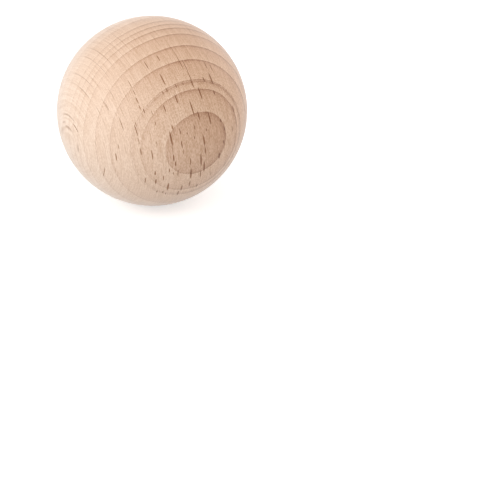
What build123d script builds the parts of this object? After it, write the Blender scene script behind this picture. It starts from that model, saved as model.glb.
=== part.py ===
from build123d import *
import os

# A bare beech ball, turned in one piece from a square blank and sanded fine.
# It is a true sphere, with no hole, stem, flat or lathe mark anywhere on it.
# Millimetres and degrees. The origin is the centre of the ball, and +Z is up as it lies.

# Driving dimensions
ball_diameter = 50.0
grain_lean = 6.7  # how far the grain leans from upright, towards -X


def half_section(radius):
    """Half of the round section: the turning axis on Z, closed by a half circle on the +X side."""
    with BuildSketch(Plane.XZ) as section:
        with BuildLine():
            Line((0, -radius), (0, radius))
            CenterArc((0, 0), radius, start_angle=-90, arc_size=180)
        make_face()
    return section.sketch


def turned_ball(diameter, lean):
    """The half section turned once about the grain, then tipped over to the way the ball lies."""
    upright = revolve(half_section(diameter / 2), axis=Axis.Z)
    return Rot(0, -lean, 0) * upright


os.makedirs("parts", exist_ok=True)
export_step(turned_ball(ball_diameter, grain_lean), "parts/ball.step")
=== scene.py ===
import math

import bpy
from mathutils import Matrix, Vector


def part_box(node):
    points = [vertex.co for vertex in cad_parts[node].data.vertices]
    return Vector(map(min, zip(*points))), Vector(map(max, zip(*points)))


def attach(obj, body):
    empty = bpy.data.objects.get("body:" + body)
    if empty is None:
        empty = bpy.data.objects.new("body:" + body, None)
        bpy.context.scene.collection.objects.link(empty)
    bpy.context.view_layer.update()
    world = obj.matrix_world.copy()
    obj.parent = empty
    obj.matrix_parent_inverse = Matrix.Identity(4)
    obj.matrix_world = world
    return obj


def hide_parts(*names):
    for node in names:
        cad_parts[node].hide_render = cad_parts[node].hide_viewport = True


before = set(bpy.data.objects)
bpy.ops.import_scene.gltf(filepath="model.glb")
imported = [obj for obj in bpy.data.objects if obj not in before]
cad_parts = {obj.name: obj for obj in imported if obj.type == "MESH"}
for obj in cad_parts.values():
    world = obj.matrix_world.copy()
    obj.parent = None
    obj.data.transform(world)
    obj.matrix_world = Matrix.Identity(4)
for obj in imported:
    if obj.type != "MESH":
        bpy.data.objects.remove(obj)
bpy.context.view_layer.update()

# The ball is one piece of beech, turned between centres with the grain along the turning axis,
# then sanded fine and left bare. What shows is the wood itself: flat year rings, broad rays that
# the surface cuts across as short dark dashes, fine rays, and open vessels along the grain.
lowest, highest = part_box("ball")
ball_radius = max(highest - lowest) / 2
grain_lean = math.radians(6.7)  # from upright, towards -X
face_turn = math.radians(29.0)  # the flat-sawn face, about the grain, from -Y towards +X
wood_turn = (0.0, grain_lean, -face_turn)  # to wood axes: X across, Y towards the bark, Z along the grain


def put(tree, kind, inputs=(), **settings):
    """Adds a node to a tree. Its inputs go by name or by number, and each is a link or a plain value."""
    made = tree.nodes.new(kind)
    for name, value in settings.items():
        setattr(made, name, value)
    for name, value in dict(inputs).items():
        if isinstance(value, bpy.types.NodeSocket):
            tree.links.new(value, made.inputs[name])
        else:
            made.inputs[name].default_value = value
    return made


def maths(tree, operation, *values, clamp=False):
    """The result of a sum on one to three numbers."""
    return put(tree, "ShaderNodeMath", enumerate(values), operation=operation, use_clamp=clamp).outputs[0]


def vectors(tree, operation, *values):
    """The result of a sum on one to three vectors, or on a vector and the number that scales it."""
    names = (0, "Scale") if operation == "SCALE" else (0, 1, 2)
    made = put(tree, "ShaderNodeVectorMath", zip(names, values), operation=operation)
    return made.outputs["Value" if operation in ("LENGTH", "DOT_PRODUCT") else "Vector"]


def sockets(tree, direction, kinds):
    """Gives a tree its named inputs or outputs."""
    for name, kind in kinds.items():
        tree.interface.new_socket(name, in_out=direction, socket_type="NodeSocket" + kind)


# Turning: an even grid on a cube's six sides is bowed out to the round form, so the ball has no pole.
# Sanding leaves soft wood a hair low, so the radius falls in shallow hollows, longer along the grain.
# A noise places the hollows, and they take no notice of the rings.
turning = bpy.data.node_groups.new("Turned ball", "GeometryNodeTree")
sockets(turning, "INPUT", {
    "Radius": "Float", "Faces on a side": "Int", "Wood turn": "Vector",
    "Hollow depth": "Float", "Hollow size": "Vector", "Seed": "Float", "Finish": "Material",
})
sockets(turning, "OUTPUT", {"Geometry": "Geometry"})
given = turning.nodes.new("NodeGroupInput").outputs
points = maths(turning, "ADD", given["Faces on a side"], 1.0)
block = put(turning, "GeometryNodeMeshCube", {
    "Size": (2.0, 2.0, 2.0), "Vertices X": points, "Vertices Y": points, "Vertices Z": points,
}).outputs["Mesh"]
spot = put(turning, "GeometryNodeInputPosition").outputs[0]

# The surface map gives each side of the cube one of six equal fields, three across and two up.
facing = put(turning, "GeometryNodeFieldOnDomain", {
    "Value": put(turning, "GeometryNodeInputNormal").outputs["Normal"],
}, data_type="FLOAT_VECTOR", domain="FACE").outputs[0]
upright_part = vectors(turning, "LENGTH", vectors(turning, "MULTIPLY", facing, (0, 0, 1)))
on_end = maths(turning, "COMPARE", upright_part, 1.0, 0.5)
up = put(turning, "ShaderNodeCombineXYZ", {1: on_end, 2: maths(turning, "SUBTRACT", 1.0, on_end)}).outputs[0]
across = vectors(turning, "CROSS_PRODUCT", up, facing)
column = vectors(turning, "DOT_PRODUCT", vectors(turning, "ABSOLUTE", facing), (0, 1, 2))
row = maths(turning, "MULTIPLY_ADD", vectors(turning, "DOT_PRODUCT", facing, (1, 1, 1)), -0.5, 0.5)
half_field = 0.49  # leaves a thin margin round each field
chart = put(turning, "ShaderNodeCombineXYZ", {
    0: maths(turning, "MULTIPLY_ADD", vectors(turning, "DOT_PRODUCT", across, spot), half_field, column),
    1: maths(turning, "MULTIPLY_ADD", vectors(turning, "DOT_PRODUCT", up, spot), half_field, row),
}).outputs[0]
chart = vectors(turning, "MULTIPLY", vectors(turning, "ADD", chart, (0.5, 0.5, 0)), (1 / 3, 1 / 2, 0))
mapped = put(turning, "GeometryNodeStoreNamedAttribute", {
    "Geometry": block, "Name": "OFBake", "Value": chart,
}, data_type="FLOAT2", domain="CORNER").outputs[0]

bowed = vectors(turning, "TANGENT", vectors(turning, "SCALE", spot, math.pi / 4))
outward = vectors(turning, "NORMALIZE", bowed)
surface = vectors(turning, "SCALE", outward, given["Radius"])
hollow_spot = vectors(turning, "DIVIDE", surface, given["Hollow size"])
hollows = put(turning, "ShaderNodeTexNoise", {
    "Vector": hollow_spot, "W": given["Seed"], "Scale": 1.0, "Detail": 1.0,
}, noise_dimensions="4D").outputs[0]
fall = maths(turning, "MULTIPLY", hollows, given["Hollow depth"])
reach = maths(turning, "SUBTRACT", given["Radius"], fall)
lying = put(turning, "ShaderNodeVectorRotate", {
    "Vector": outward, "Rotation": given["Wood turn"],
}, rotation_type="EULER_XYZ", invert=True).outputs[0]
turned = put(turning, "GeometryNodeSetPosition", {
    "Geometry": mapped, "Position": vectors(turning, "SCALE", lying, reach),
}).outputs[0]
smooth = put(turning, "GeometryNodeSetShadeSmooth", {0: turned}).outputs[0]
solid = put(turning, "GeometryNodeRealizeInstances", {0: smooth}).outputs[0]
finished = put(turning, "GeometryNodeSetMaterial", {0: solid, "Material": given["Finish"]}).outputs[0]
put(turning, "NodeGroupOutput", {0: finished})

# The year rings. Each ring starts with pale, open early wood and ends in a thin dark line.
# Depths are millimetres from the middle of the ball towards the bark, with how dark each line is.
# Ten depths, up to 5.06, are a scratch program's least-squares fit to the photograph's dark lines, moved
# 0.11 to 0.2 towards the bark. The one at -19.15 only thickens the line after it, the one at 8.4 was read
# off the photograph, and those from 11.7 on are made up.
ring_ends = (
    (-23.22, 0.68), (-20.42, 0.76), (-19.15, 0.76), (-18.86, 0.86), (-14.75, 1.0), (-10.76, 1.0),
    (-6.4, 0.8), (-3.52, 1.0), (-1.3, 0.88), (1.06, 0.78), (5.06, 0.4), (8.4, 0.45), (11.7, 0.75),
    (14.3, 0.5), (17.9, 0.8), (20.6, 0.5), (23.2, 0.7),
)
beyond = 30.0
rings = bpy.data.node_groups.new("Year rings", "ShaderNodeTree")
sockets(rings, "INPUT", {
    "Depth": "Float", "Line width": "Float", "Late share": "Float", "Early width": "Float",
})
sockets(rings, "OUTPUT", {"Line": "Float", "Late wood": "Float", "Early wood": "Float"})
given = rings.nodes.new("NodeGroupInput").outputs
state = (-beyond, ring_ends[0][0], ring_ends[0][1])  # the last line, the next one, and how dark that one is
for before, here, after in zip(((-beyond, 0.0),) + ring_ends, ring_ends, ring_ends[1:] + ((beyond, 0.0),)):
    passed = maths(rings, "GREATER_THAN", given["Depth"], here[0])
    step = (here[0] - before[0], after[0] - here[0], after[1] - here[1])
    state = vectors(rings, "MULTIPLY_ADD", passed, step, state)
last, following, darkness = put(rings, "ShaderNodeSeparateXYZ", {0: state}).outputs
since = maths(rings, "SUBTRACT", last, given["Depth"])
until = maths(rings, "SUBTRACT", given["Depth"], following)
line = maths(rings, "EXPONENT", maths(rings, "DIVIDE", until, given["Line width"]))
late_width = maths(rings, "MULTIPLY", maths(rings, "SUBTRACT", following, last), given["Late share"])
late = maths(rings, "EXPONENT", maths(rings, "DIVIDE", until, late_width))
early = maths(rings, "EXPONENT", maths(rings, "DIVIDE", since, given["Early width"]))
put(rings, "NodeGroupOutput", {
    "Line": maths(rings, "MULTIPLY", line, darkness), "Late wood": maths(rings, "MULTIPLY", late, darkness),
    "Early wood": early,
})

# Rays are thin ribbons that run from heart to bark, a few millimetres tall along the grain.
# One scattering of them: lens-shaped ribbons, one in each cell, as wide and tall as their share of it.
scatter = bpy.data.node_groups.new("Scattered rays", "ShaderNodeTree")
sockets(scatter, "INPUT", {"Wood": "Vector", "Cell": "Vector", "Least share": "Float", "Spread": "Float"})
sockets(scatter, "OUTPUT", {"Nearness": "Float"})
given = scatter.nodes.new("NodeGroupInput").outputs
cells = put(scatter, "ShaderNodeTexVoronoi", {
    "Vector": vectors(scatter, "DIVIDE", given["Wood"], given["Cell"]), "Scale": 1.0,
}, feature="F1").outputs
chance = put(scatter, "ShaderNodeSeparateColor", {0: cells["Color"]}).outputs[0]
share = maths(scatter, "MULTIPLY_ADD", chance, given["Spread"], given["Least share"])
nearness = put(scatter, "ShaderNodeMapRange", {
    "Value": maths(scatter, "DIVIDE", cells["Distance"], share),
    "From Min": 1.0, "From Max": 0.5, "To Min": 0.0, "To Max": 1.0,
}).outputs[0]
put(scatter, "NodeGroupOutput", {0: nearness})

beech = bpy.data.materials.new("bare_beech")
beech.use_nodes = True
wood_tree = beech.node_tree
wood_tree.nodes.clear()
wood = put(wood_tree, "ShaderNodeMapping", {
    "Vector": put(wood_tree, "ShaderNodeTexCoord").outputs["Object"],
    "Rotation": wood_turn, "Scale": (1000.0, 1000.0, 1000.0),
}).outputs[0]
wander = put(wood_tree, "ShaderNodeTexNoise", {
    "Vector": vectors(wood_tree, "DIVIDE", wood, (9, 9, 16)), "Scale": 1.0, "Detail": 2.0,
}).outputs["Color"]
wander = vectors(wood_tree, "SUBTRACT", wander, (0.5, 0.5, 0.5))
grown = vectors(wood_tree, "MULTIPLY_ADD", wander, (0.25, 0.25, 0.0), wood)
aside, depth = put(wood_tree, "ShaderNodeSeparateXYZ", {0: grown}).outputs[:2]

# The rings curve round the heart of the tree, and they wave and tip a little on the way.
# These numbers are the same fit's, rounded.
heart_away = 385.0  # millimetres from the heart of the tree
wave_height = 0.24
wave_length = 32
wave_start = 17.4
tip_length = 34
tip_start = 12.6
curve = maths(wood_tree, "MULTIPLY", maths(wood_tree, "MULTIPLY", aside, aside), -0.5 / heart_away)
wave_turn = maths(
    wood_tree, "MULTIPLY_ADD", aside, math.tau / wave_length, math.tau * wave_start / wave_length
)
wave = maths(wood_tree, "COSINE", wave_turn)
bend = maths(wood_tree, "MULTIPLY_ADD", wave, wave_height, curve)
tip_turn = maths(wood_tree, "MULTIPLY_ADD", depth, math.tau / tip_length, math.tau * tip_start / tip_length)
tip_here = maths(wood_tree, "COSINE", tip_turn)
tip_there = vectors(wood_tree, "DOT_PRODUCT", grown, (-0.029, 0.0, 0.012))
bend = maths(wood_tree, "MULTIPLY_ADD", tip_here, tip_there, bend)
lean = vectors(wood_tree, "DOT_PRODUCT", grown, (-0.008, 0.0, 0.012))
ring_depth = maths(wood_tree, "SUBTRACT", maths(wood_tree, "SUBTRACT", depth, bend), lean)
ring = put(wood_tree, "ShaderNodeGroup", {}, node_tree=rings)
wood_tree.links.new(ring_depth, ring.inputs["Depth"])
ring.inputs["Line width"].default_value = 0.27
ring.inputs["Late share"].default_value = 0.2
ring.inputs["Early width"].default_value = 1.25

# Rays that show as dashes, most of them on the flat-sawn face. Their places were read by eye from the
# photograph, in pixels, and a scratch script changed them to the millimetres of wood that stand here:
# place across, place along the grain, half height and half width. Two short ones at the left also have
# their place and half length in depth.
face_rays = (
    (-2.5, 13.3, 1.2, 0.14), (-6.25, 12.0, 1.0, 0.12), (-11.2, 12.1, 0.6, 0.10), (-9.6, 8.8, 0.6, 0.07),
    (-14.3, 7.5, 1.6, 0.09), (-14.4, 1.8, 1.1, 0.09), (-12.0, 0.6, 1.6, 0.10), (-10.5, 3.6, 0.7, 0.06),
    (-6.8, 4.3, 2.2, 0.17), (-5.8, 7.1, 0.65, 0.12), (-4.1, 5.5, 1.0, 0.11), (-4.35, 1.9, 1.2, 0.13),
    (-2.3, 4.5, 0.4, 0.09), (-0.6, 2.7, 0.5, 0.10), (0.77, 10.2, 2.0, 0.16), (1.97, 7.9, 1.4, 0.14),
    (4.5, 12.6, 1.6, 0.18), (9.4, 14.0, 1.4, 0.2), (7.1, 14.8, 0.6, 0.16), (4.97, 6.0, 1.9, 0.17),
    (8.75, 11.0, 0.7, 0.14), (13.65, 4.2, 1.1, 0.17), (8.3, 3.9, 0.5, 0.16), (9.1, 1.2, 0.5, 0.14),
    (3.3, 3.5, 0.5, 0.11), (2.0, 0.9, 1.8, 0.2), (2.0, -2.1, 1.1, 0.18), (0.02, 5.5, 0.8, 0.10),
    (-6.95, -1.4, 1.2, 0.16), (-6.6, -3.3, 0.85, 0.14), (-2.5, -3.9, 1.3, 0.12), (-2.4, -8.0, 1.9, 0.22),
    (-2.42, -11.6, 1.3, 0.15), (-8.2, -5.1, 0.7, 0.12), (-11.65, -5.3, 0.8, 0.14),
    (-11.4, -8.2, 1.0, 0.16), (-13.8, -7.5, 1.0, 0.09), (-9.65, -7.3, 0.9, 0.10),
    (-8.25, -10.9, 1.6, 0.2), (-6.0, -6.6, 1.3, 0.11), (-4.5, -12.5, 1.2, 0.15), (-5.1, -14.4, 1.1, 0.14),
    (0.0, -13.5, 0.7, 0.15), (0.55, -4.5, 2.1, 0.2), (1.5, -7.2, 2.0, 0.2), (0.5, -9.3, 1.3, 0.15),
    (8.27, -2.4, 0.6, 0.18), (6.5, -6.0, 1.1, 0.25), (12.0, -0.5, 1.1, 0.11), (3.9, -10.8, 0.8, 0.09),
    (-7.2, -6.3, 0.5, 0.10), (-8.4, -13.6, 0.5, 0.10), (-9.2, -12.7, 0.5, 0.10),
    (-10.7, -12.2, 0.5, 0.10), (-3.75, 18.0, 1.3, 0.15), (9.65, 16.8, 0.75, 0.09),
    (11.0, 15.7, 0.8, 0.08), (-1.94, 21.7, 0.6, 0.10), (-5.68, 21.0, 0.8, 0.10), (3.68, 18.9, 1.3, 0.08),
    (3.53, 16.9, 1.2, 0.09), (3.3, 15.3, 1.0, 0.14), (2.82, 19.7, 1.5, 0.09), (-1.24, 16.0, 0.45, 0.09),
    (0.8, 16.0, 0.35, 0.09), (-3.97, 15.8, 0.55, 0.09), (-5.2, 15.4, 0.45, 0.08),
    (-11.5, 17.8, 0.8, 0.06), (-11.55, 16.2, 0.7, 0.06), (-11.75, 14.5, 0.8, 0.09),
    (-11.8, 13.0, 0.6, 0.09), (-14.38, 4.7, 1.1, 0.05), (-13.98, 9.1, 0.8, 0.05),
    (-16.85, 9.2, 2.0, 0.05), (-18.68, 3.1, 0.8, 0.05), (-19.46, 0.0, 1.3, 0.09),
    (-9.55, 11.5, 0.7, 0.06), (-4.22, -0.4, 0.9, 0.06), (-6.93, 1.2, 1.6, 0.05),
    (-24.17, 5.3, 1.4, 0.03, -3.5, 1.6), (-21.5, -5.6, 1.9, 0.05, -11.4, 3.0),
)
# Rays that show as long lines on the end grain at the top, and as arcs on the quarter-sawn side at the
# left, found in the same way: place across, along and deep, half height, half width and half depth.
long_rays = (
    (-18.3, 13.2, -10.5, 1.8, 0.085, 4.0), (-18.13, 12.8, -11.3, 1.5, 0.12, 2.0),
    (-18.5, 16.3, -0.5, 1.8, 0.085, 8.0), (-16.1, 15.6, -11.0, 1.8, 0.07, 3.5),
    (-14.26, 16.2, -12.4, 1.0, 0.06, 1.8), (-14.7, 19.3, -1.0, 1.8, 0.10, 9.0),
    (-12.45, 20.9, 0.0, 1.8, 0.12, 8.5), (-9.1, 22.7, 0.0, 1.8, 0.075, 7.0),
    (-6.7, 23.8, 0.5, 1.8, 0.095, 4.5), (-20.15, 14.4, -3.0, 1.8, 0.09, 4.0),
    (-19.95, 11.6, -9.6, 1.2, 0.07, 1.7), (2.9, 21.2, -12.0, 1.8, 0.12, 4.0),
    (0.5, 23.8, -6.5, 1.8, 0.085, 5.0), (11.45, 17.6, -13.7, 1.8, 0.085, 2.2),
    (11.75, 21.3, -4.6, 1.6, 0.09, 3.8), (-23.91, 6.8, 0.5, 1.8, 0.085, 4.5),
    (-24.64, 4.0, 0.0, 1.0, 0.085, 2.4), (-24.43, 4.8, 3.0, 1.2, 0.085, 1.6),
    (-24.64, -0.5, -4.2, 1.6, 0.085, 0.8),
)


edge_fade = 1.3  # a dash fades at its edge, so it is laid in this much wider
through = (-20, 24)  # the place and half length in depth of a dash that gives none


def from_ribbon(place, half_size):
    """How far the wood is from the middle of one ribbon, as a share of the ribbon's half size."""
    share = [1 / half for half in half_size]
    shift = [-at / half for at, half in zip(place, half_size)]
    return vectors(wood_tree, "LENGTH", vectors(wood_tree, "MULTIPLY_ADD", wood, share, shift))


nearest = 9.0
for side, height, half_height, half_width, *inner in face_rays:
    inward, half_depth = inner or through
    found = from_ribbon((side, inward, height), (half_width * edge_fade, half_depth, half_height))
    nearest = maths(wood_tree, "MINIMUM", found, nearest)
nearest_long = 9.0
for side, height, inward, half_height, half_width, half_depth in long_rays:
    found = from_ribbon((side, inward, height), (half_width, half_depth, half_height))
    nearest_long = maths(wood_tree, "MINIMUM", found, nearest_long)
plain_rays = put(wood_tree, "ShaderNodeMapRange", {
    "Value": nearest, "From Min": 1.05, "From Max": 0.75, "To Min": 0.0, "To Max": 1.0,
}).outputs[0]
line_rays = put(wood_tree, "ShaderNodeMapRange", {
    "Value": nearest_long, "From Min": 1.05, "From Max": 0.4, "To Min": 0.0, "To Max": 0.55,
}).outputs[0]


def ray_scatter(cell, least, spread):
    """Places one scattering of rays in the wood, with its cell in millimetres."""
    made = put(wood_tree, "ShaderNodeGroup", node_tree=scatter)
    wood_tree.links.new(grown, made.inputs["Wood"])
    made.inputs["Cell"].default_value = cell
    made.inputs["Least share"].default_value = least
    made.inputs["Spread"].default_value = spread
    return made.outputs[0]


broad_rays = ray_scatter((0.9, 60.0, 12.0), 0.04, 0.14)
fine_rays = ray_scatter((0.6, 30.0, 8.0), 0.05, 0.2)
# The scattered broad rays are faint on the near side, where the dashes above are placed one by one.
near_side = (-0.42, -0.77, 0.48)
far_side = put(wood_tree, "ShaderNodeMapRange", {
    "Value": vectors(wood_tree, "DOT_PRODUCT", wood, near_side),
    "From Min": -3.0, "From Max": 5.0, "To Min": 0.8, "To Max": 0.12,
}).outputs[0]
rays = maths(wood_tree, "MAXIMUM", plain_rays, maths(wood_tree, "MULTIPLY", broad_rays, far_side))
rays = maths(wood_tree, "MAXIMUM", rays, line_rays)

# Fibres make a fine, soft mottle, open vessels a speckle, and the finest rays a faint streak all over.
fibres = put(wood_tree, "ShaderNodeTexNoise", {
    "Vector": vectors(wood_tree, "DIVIDE", wood, (0.32, 0.32, 1.6)),
    "Scale": 1.0, "Detail": 2.0, "Roughness": 0.6,
}).outputs[0]
vessels = put(wood_tree, "ShaderNodeTexNoise", {
    "Vector": vectors(wood_tree, "DIVIDE", wood, (0.2, 0.2, 0.8)),
    "Scale": 1.0, "Detail": 1.0, "Roughness": 0.6,
}).outputs[0]
streaks = put(wood_tree, "ShaderNodeTexNoise", {
    "Vector": vectors(wood_tree, "DIVIDE", wood, (0.15, 9.0, 4.0)),
    "Scale": 1.0, "Detail": 1.0, "Roughness": 0.6,
}).outputs[0]

# Colour: paler towards the bark and tanner towards the heart, as the wood is, and paler to the left, which
# is painted light on the lamp's side; darker low down is painted shade.
heart_wood_and_painted_shade = (0.66, 0.41, 0.265, 1.0)
bark_wood_and_painted_light = (0.905, 0.685, 0.53, 1.0)
painted_low_shade = (0.745, 0.765, 0.785, 1.0)
# Painted light and shade mixed with the wood's tone: paler towards the bark and the lit left, tanner towards
# the heart and the shaded right.
towards_bark_and_painted_light = vectors(wood_tree, "DOT_PRODUCT", wood, (-0.0247, 0.0121, -0.0077))
towards_bark_and_painted_light = maths(wood_tree, "ADD", towards_bark_and_painted_light, 0.5, clamp=True)
# Painted shade: the colour darkens and cools towards the bottom of the ball.
painted_shade_low_down = vectors(wood_tree, "DOT_PRODUCT", wood, (-0.0106, 0.0037, -0.0199))
painted_shade_low_down = maths(wood_tree, "ADD", painted_shade_low_down, 0.5, clamp=True)


def tint(blend, factor, first, second):
    """Lays one colour over another, by a factor from 0 to 1."""
    inputs = {0: factor, 6: first, 7: second}
    made = put(wood_tree, "ShaderNodeMix", inputs, data_type="RGBA", blend_type=blend)
    return made.outputs[2]


# This mix is partly the wood's own tone, partly painted light on the left and painted shade on the right.
colour = tint("MIX", towards_bark_and_painted_light, heart_wood_and_painted_shade, bark_wood_and_painted_light)
# Painted shade at the bottom of the ball.
colour = tint("MULTIPLY", painted_shade_low_down, colour, painted_low_shade)
speck_mix = maths(wood_tree, "MULTIPLY_ADD", streaks, 0.7, vessels)
speck_share = put(wood_tree, "ShaderNodeMapRange", {
    "Value": speck_mix, "From Min": 0.66, "From Max": 1.04, "To Min": 0.0, "To Max": 1.0,
}).outputs[0]
speckle = tint("MIX", speck_share, (0.76, 0.66, 0.56, 1.0), (1.16, 1.22, 1.28, 1.0))
# The speckle is faint towards the bark and the lit left: partly the wood, partly a painted washout of the
# figure where the lamp falls.
speck_strength_and_painted_washout = put(wood_tree, "ShaderNodeMapRange", {
    "Value": towards_bark_and_painted_light, "From Min": 0.15, "From Max": 0.75, "To Min": 0.85, "To Max": 0.48,
}).outputs[0]
colour = tint("MULTIPLY", speck_strength_and_painted_washout, colour, speckle)
# The ring lines fade to the left: partly the wood, partly a painted washout of the figure where the lamp
# falls.
line_place = vectors(wood_tree, "DOT_PRODUCT", wood, (0.04, 0.0, 0.002))
ring_strength_and_painted_washout = put(wood_tree, "ShaderNodeMapRange", {
    "Value": line_place, "From Min": -0.52, "From Max": 0.14, "To Min": 0.24, "To Max": 0.84,
}).outputs[0]
early_share = maths(wood_tree, "MULTIPLY", ring.outputs["Early wood"], ring_strength_and_painted_washout)
colour = tint("MULTIPLY", early_share, colour, (1.16, 1.25, 1.32, 1.0))
late_share = maths(wood_tree, "MULTIPLY", ring.outputs["Late wood"], ring_strength_and_painted_washout)
colour = tint("MULTIPLY", late_share, colour, (0.88, 0.80, 0.76, 1.0))
colour = tint("MULTIPLY", maths(wood_tree, "MULTIPLY", fine_rays, 0.5), colour, (0.74, 0.66, 0.58, 1.0))
line_dots = maths(wood_tree, "MULTIPLY_ADD", speck_share, -0.6, 1.3)
line_share = maths(wood_tree, "MULTIPLY", ring.outputs["Line"], ring_strength_and_painted_washout)
line_share = maths(wood_tree, "MULTIPLY", line_share, line_dots, clamp=True)
colour = tint("MULTIPLY", line_share, colour, (0.44, 0.28, 0.19, 1.0))
colour = tint("MULTIPLY", maths(wood_tree, "MULTIPLY", rays, 0.95), colour, (0.40, 0.25, 0.14, 1.0))

bump = put(wood_tree, "ShaderNodeBump", {"Height": fibres, "Strength": 0.3, "Distance": 0.00002}).outputs[0]
roughness = put(wood_tree, "ShaderNodeMapRange", {
    "Value": fibres, "From Min": 0.3, "From Max": 0.7, "To Min": 0.4, "To Max": 0.56,
}).outputs[0]
shader = put(wood_tree, "ShaderNodeBsdfPrincipled", {
    "Base Color": colour, "Roughness": roughness, "Normal": bump, "IOR": 1.4,
    "Sheen Weight": 0.55, "Sheen Roughness": 0.35,
})
put(wood_tree, "ShaderNodeOutputMaterial", {"Surface": shader.outputs[0]})

ball = bpy.data.objects.new("turned_ball", bpy.data.meshes.new("blank"))
bpy.context.scene.collection.objects.link(ball)
lathe = ball.modifiers.new("Turning", "NODES")
lathe.node_group = turning
turning_values = {
    "Radius": ball_radius, "Faces on a side": 126, "Wood turn": wood_turn,
    "Hollow depth": 0.00002, "Hollow size": (0.004, 0.004, 0.012), "Seed": 5.0, "Finish": beech,
}
for item in turning.interface.items_tree:
    if item.in_out == "INPUT":
        lathe[item.identifier] = turning_values[item.name]
evaluated = ball.evaluated_get(bpy.context.evaluated_depsgraph_get())
ball.data = bpy.data.meshes.new_from_object(evaluated)
ball.modifiers.clear()
ball.data.materials.pop(index=0)  # the empty slot that the cube began with
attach(ball, "root")
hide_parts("ball")

# The floor is a plain pale board under the ball. It shows white, and keeps the ball's soft shadow.
floor_width = 4.0
floor_signs = ((-1, -1), (1, -1), (1, 1), (-1, 1))
floor_corners = [(x * floor_width / 2, y * floor_width / 2, -ball_radius) for x, y in floor_signs]
floor_mesh = bpy.data.meshes.new("floor")
floor_mesh.from_pydata(floor_corners, [], [(0, 1, 2, 3)])
floor = bpy.data.objects.new("floor", floor_mesh)
bpy.context.scene.collection.objects.link(floor)


def seen_directly(tree):
    """1 for what the camera sees, straight or by gloss or through glass, and 0 for what lights a surface."""
    path = put(tree, "ShaderNodeLightPath").outputs
    seen = maths(tree, "MAXIMUM", path["Is Camera Ray"], path["Is Glossy Ray"])
    return maths(tree, "MAXIMUM", seen, path["Is Transmission Ray"])


pale_board = bpy.data.materials.new("pale_board")
pale_board.use_nodes = True
board_tree = pale_board.node_tree
board_tree.nodes.clear()
board_lift = 0.5
board = put(board_tree, "ShaderNodeBsdfDiffuse", {"Color": (0.85, 0.85, 0.85, 1.0)}).outputs[0]
lift = put(board_tree, "ShaderNodeEmission", {
    "Strength": maths(board_tree, "MULTIPLY", seen_directly(board_tree), board_lift),
}).outputs[0]
both = put(board_tree, "ShaderNodeAddShader", {0: board, 1: lift}).outputs[0]
put(board_tree, "ShaderNodeOutputMaterial", {"Surface": both})
floor_mesh.materials.append(pale_board)

# The light is plain and soft: a large lamp at the left and a little up, a weaker one behind at the
# right, and an even white room.
room_light = 0.8
room = bpy.data.worlds.new("white_room")
bpy.context.scene.world = room
room.use_nodes = True
room_tree = room.node_tree
room_tree.nodes.clear()
room_strength = maths(room_tree, "MULTIPLY_ADD", seen_directly(room_tree), 1.0 - room_light, room_light)
background = put(room_tree, "ShaderNodeBackground", {
    "Color": (1.0, 1.0, 1.0, 1.0), "Strength": room_strength,
}).outputs[0]
put(room_tree, "ShaderNodeOutputWorld", {"Surface": background})


def soft_lamp(name, direction, distance, width, watts):
    """A square area lamp that looks at the ball from a direction."""
    lamp = bpy.data.lights.new(name, "AREA")
    lamp.size = width
    lamp.energy = watts
    placed = bpy.data.objects.new(name, lamp)
    placed.location = Vector(direction).normalized() * distance
    placed.rotation_euler = Vector(direction).to_track_quat("Z", "Y").to_euler()
    bpy.context.scene.collection.objects.link(placed)


lamp_distance = 0.6
lamp_width = 0.45
soft_lamp("window", (-0.75, -0.52, 0.40), lamp_distance, lamp_width, 1.68)
soft_lamp("back_window", (0.72, 0.6, 0.36), lamp_distance, lamp_width, 0.74)

# The camera looks down from the front with a long lens. It aims beside the ball, so that the ball
# stands in the upper left of the picture, where the photograph has it.
picture_width = 500.0
ball_across = 152.0  # pixels from the left
ball_down = 110.7  # pixels from the top
ball_half_width = 95.3  # pixels
view_height = math.radians(28.8)
lens = 1500.0
film = 36.0
pixel = film / picture_width
distance = ball_radius / math.sin(math.atan(ball_half_width * pixel / lens))
camera_data = bpy.data.cameras.new("camera")
camera_data.lens = lens
camera_data.sensor_width = film
camera_data.clip_end = 20.0
camera = bpy.data.objects.new("camera", camera_data)
bpy.context.scene.collection.objects.link(camera)
bpy.context.scene.camera = camera
towards_camera = Vector((0.0, -math.cos(view_height), math.sin(view_height)))
camera.location = towards_camera * distance
straight = towards_camera.to_track_quat("Z", "Y")
film_across = (ball_across - picture_width / 2) * pixel
film_up = (picture_width / 2 - ball_down) * pixel
ball_on_film = Vector((film_across, film_up, -lens))
camera.rotation_euler = (straight @ ball_on_film.rotation_difference(Vector((0.0, 0.0, -1.0)))).to_euler()

bpy.context.scene.view_settings.view_transform = "Standard"
